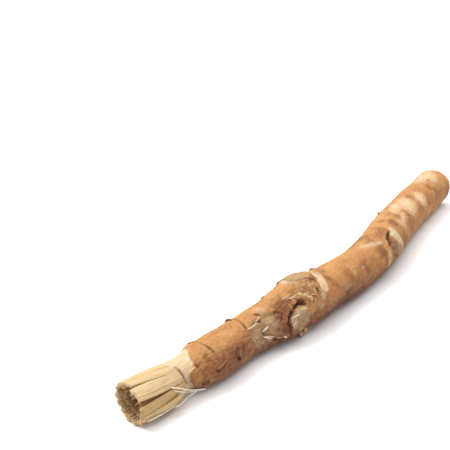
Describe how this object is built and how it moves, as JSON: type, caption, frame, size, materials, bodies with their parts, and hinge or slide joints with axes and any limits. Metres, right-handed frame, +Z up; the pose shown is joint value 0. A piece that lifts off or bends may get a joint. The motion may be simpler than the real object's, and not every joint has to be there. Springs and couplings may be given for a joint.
{
  "type": "miswak stick",
  "caption": "Natural chewing stick cut from a root: a bowed, knotty twig with flaking bark and one end frayed into a bristle brush, lying on its side.",
  "frame": {"origin": "on the surface that the stick lies on, under the middle of its box", "axes": "+X along the stick from the frayed brush towards the plain cut end, +Z up, -Y the side that the stick bows towards"},
  "size_m": [0.1605, 0.0201, 0.0129],
  "materials": {
    "bark_and_wood": "dry matt golden-brown bark, cream where it is peeled and at the frayed fibres"
  },
  "bodies": {
    "root": {"stick": "bark_and_wood"}
  },
  "joints": []
}
